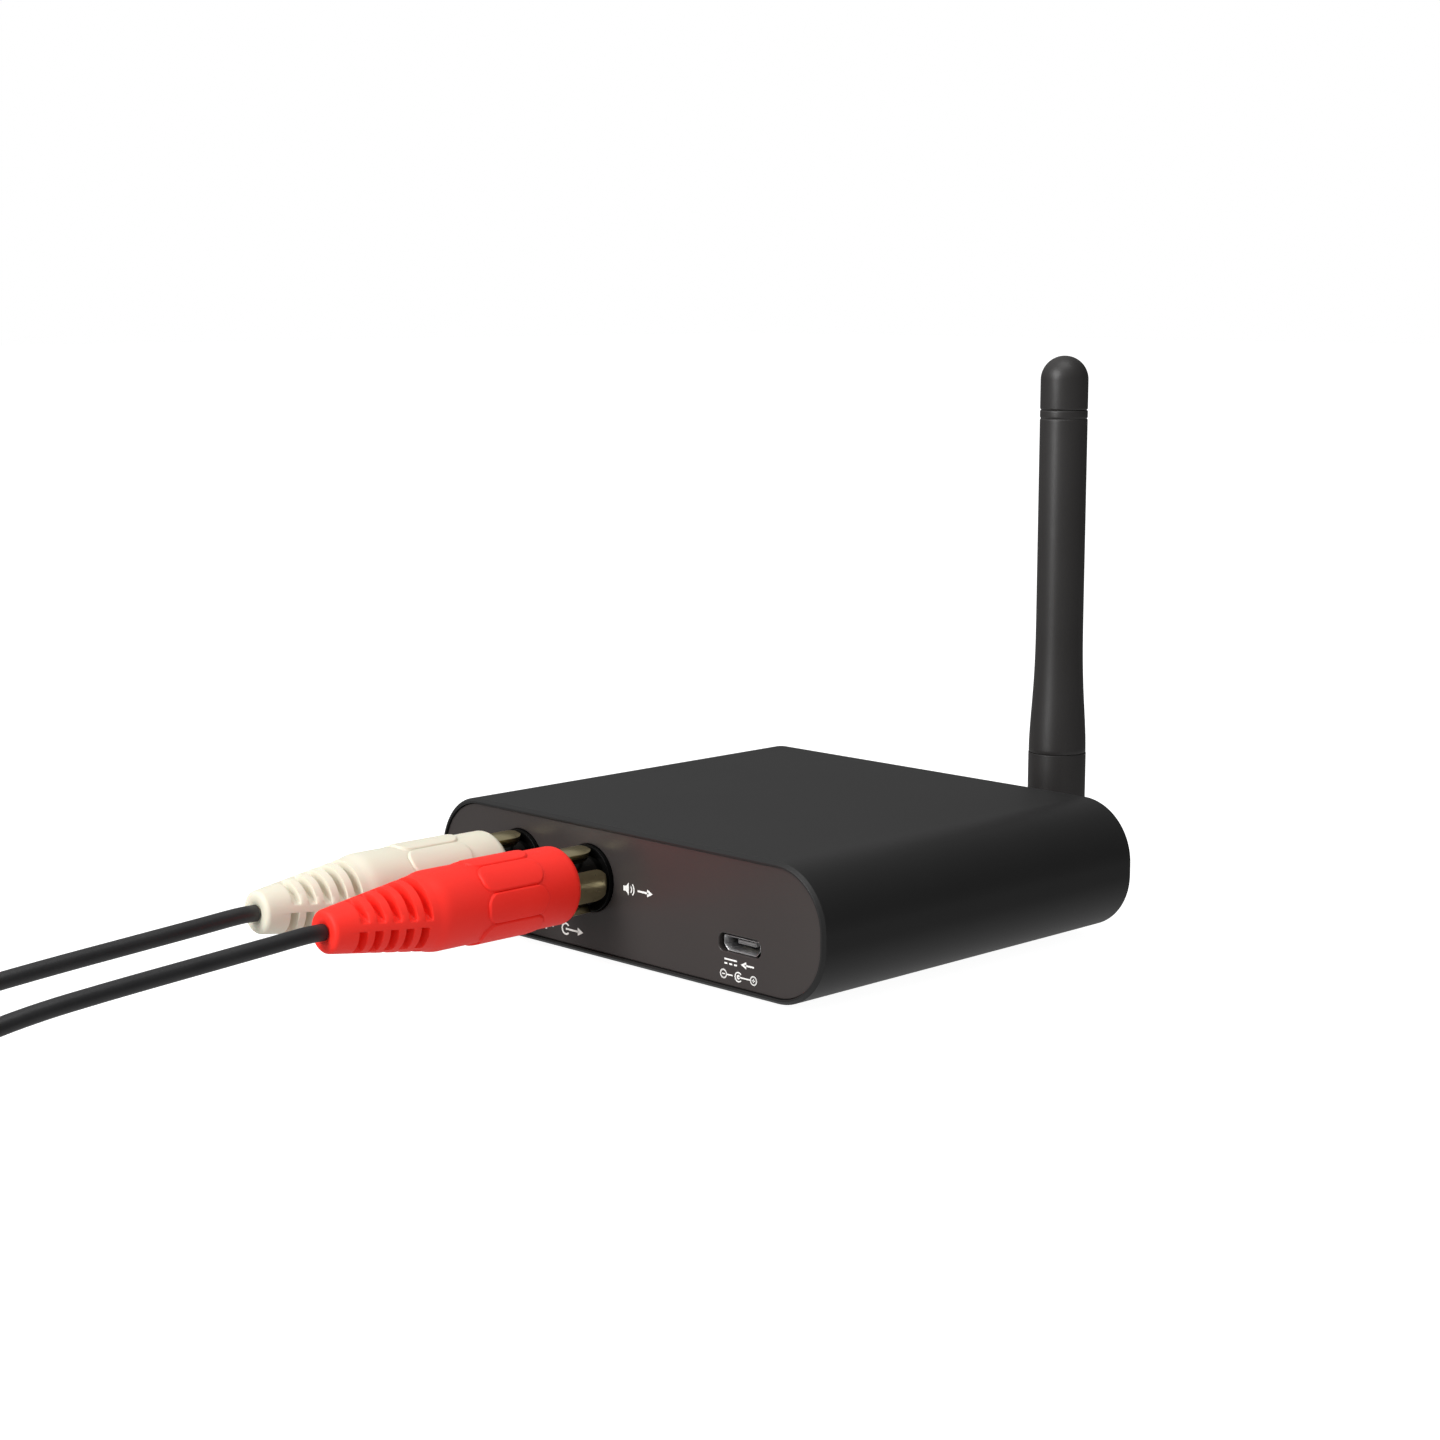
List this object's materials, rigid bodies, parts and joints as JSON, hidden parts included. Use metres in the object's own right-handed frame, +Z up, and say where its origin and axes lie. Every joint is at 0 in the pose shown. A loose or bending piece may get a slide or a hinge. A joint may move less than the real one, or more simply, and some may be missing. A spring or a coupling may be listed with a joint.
{
  "type": "bluetooth audio receiver",
  "caption": "Small extruded metal box with a hinged rod antenna at one end and a stereo phono lead plugged in at the other.",
  "frame": {"origin": "on the table, under the middle of the case, at the centre of the underside of its rubber mat", "axes": "+Z up; +Y from the rear panel with the audio jacks towards the antenna end; +X to the right along the rear panel as seen from behind"},
  "size_m": [0.1024, 0.3034, 0.0917],
  "materials": {
    "anodised_sleeve": "satin black anodised extrusion",
    "end_panel": "semi-gloss brown-grey moulded panel",
    "mat_rubber": "matt black rubber",
    "circuit_board": "green solder mask on glass fibre",
    "module_board": "blue solder mask on glass fibre",
    "tinned_steel": "dull tin-plated sheet",
    "chip_black": "matt black epoxy",
    "ferrite": "dark grey pressed ferrite",
    "capacitor_can": "bright drawn can",
    "ceramic": "tan fired ceramic",
    "socket_plastic": "black moulded plastic",
    "dark_nickel": "dark plated barrel",
    "white_insulator": "white moulded insulator",
    "gold_plating": "polished pale gold plating",
    "led_lens": "clear moulded lens",
    "button_plastic": "satin black moulded plastic",
    "antenna_plastic": "satin black moulded plastic",
    "hinge_steel": "bright steel pin",
    "copper": "bare copper",
    "red_plastic": "satin red moulded vinyl",
    "cream_plastic": "satin cream moulded vinyl",
    "cord_jacket": "black vinyl cord jacket"
  },
  "bodies": {
    "case": {"case_sleeve": "anodised_sleeve", "rear_panel": "end_panel", "front_panel": "end_panel", "base_mat": "mat_rubber", "main_board": "circuit_board", "bluetooth_module": "module_board", "module_shield": "tinned_steel", "converter_chip": "chip_black", "amplifier_chip": "chip_black", "regulator": "chip_black", "power_inductor": "ferrite", "crystal": "tinned_steel", "electrolytic_capacitors": "capacitor_can", "chip_components": "ceramic", "phono_jack_block": "socket_plastic", "right_jack_barrel": "dark_nickel", "left_jack_barrel": "dark_nickel", "right_jack_insulator": "white_insulator", "left_jack_insulator": "white_insulator", "right_jack_contact": "gold_plating", "left_jack_contact": "gold_plating", "usb_socket_shell": "tinned_steel", "usb_socket_tongue": "socket_plastic", "status_led": "led_lens", "light_pipe": "led_lens", "switch_body": "socket_plastic", "antenna_jack": "gold_plating", "antenna_jack_insulator": "white_insulator", "antenna_jack_contact": "gold_plating", "antenna_jack_washer": "gold_plating", "antenna_jack_nut": "gold_plating", "antenna_pigtail": "cord_jacket", "antenna_coupling_nut": "antenna_plastic"},
    "button": {"pair_button": "button_plastic", "switch_plunger": "button_plastic"},
    "antenna_swivel": {"antenna_base": "antenna_plastic", "antenna_hinge_pin": "hinge_steel"},
    "antenna_rod": {"antenna_knuckle": "antenna_plastic", "antenna_sleeve": "antenna_plastic", "antenna_cap": "antenna_plastic", "antenna_radiator": "copper", "antenna_feed": "copper"},
    "right_lead": {"right_plug_body": "red_plastic", "right_plug_shell": "gold_plating", "right_plug_insulator": "white_insulator", "right_plug_pin": "gold_plating", "right_cord": "cord_jacket", "right_cord_coil": "cord_jacket", "right_far_plug_body": "red_plastic", "right_far_plug_shell": "gold_plating", "right_far_plug_core": "gold_plating"},
    "left_lead": {"left_plug_body": "cream_plastic", "left_plug_shell": "gold_plating", "left_plug_insulator": "white_insulator", "left_plug_pin": "gold_plating", "left_cord": "cord_jacket", "left_cord_coil": "cord_jacket", "left_far_plug_body": "cream_plastic", "left_far_plug_shell": "gold_plating", "left_far_plug_core": "gold_plating"}
  },
  "joints": [
    {"name": "antenna_swivel_turn", "type": "hinge", "parent": "case", "child": "antenna_swivel", "pos_m": [0.0124, 0.0484, 0.0132], "axis": [0, 1, 0], "range_deg": [-90, 90]},
    {"name": "antenna_fold", "type": "hinge", "parent": "antenna_swivel", "child": "antenna_rod", "pos_m": [0.0124, 0.05475, 0.0132], "axis": [-1, 0, 0], "range_deg": [0, 90]},
    {"name": "pair_button_press", "type": "slide", "parent": "case", "child": "button", "axis": [0, -1, 0], "range_m": [0, 0.0005], "stiffness_N_per_m": 1500, "springref_m": -0.0005},
    {"name": "right_plug_pull", "type": "slide", "parent": "case", "child": "right_lead", "axis": [0, -1, 0], "range_m": [0, 0.012]},
    {"name": "left_plug_pull", "type": "slide", "parent": "case", "child": "left_lead", "axis": [0, -1, 0], "range_m": [0, 0.012]}
  ]
}
